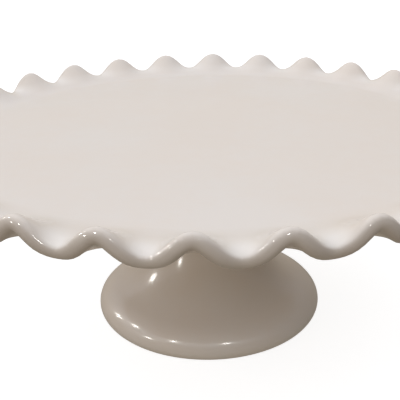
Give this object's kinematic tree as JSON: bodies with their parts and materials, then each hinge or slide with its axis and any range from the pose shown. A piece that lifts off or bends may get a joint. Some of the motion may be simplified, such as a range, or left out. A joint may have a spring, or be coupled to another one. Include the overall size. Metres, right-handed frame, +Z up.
{
  "type": "cake stand",
  "caption": "Low pedestal cake stand: a round flat plate with a raised, evenly ruffled rim and a rounded lip, on a hollow flared foot, in glossy white glazed ceramic.",
  "frame": {"origin": "on the table, under the middle of the stand", "axes": "+Z up, along the stand's axis of rotation; one ruffle crest lies on each of +X, -X, +Y and -Y"},
  "size_m": [0.2814, 0.2814, 0.1046],
  "materials": {
    "white_glaze": "warm white glaze, high gloss",
    "glazed_slip": "warm white glaze pooled over the joint, high gloss"
  },
  "bodies": {
    "root": {"plate": "white_glaze", "pedestal": "white_glaze", "slip_joint": "glazed_slip"}
  },
  "joints": []
}
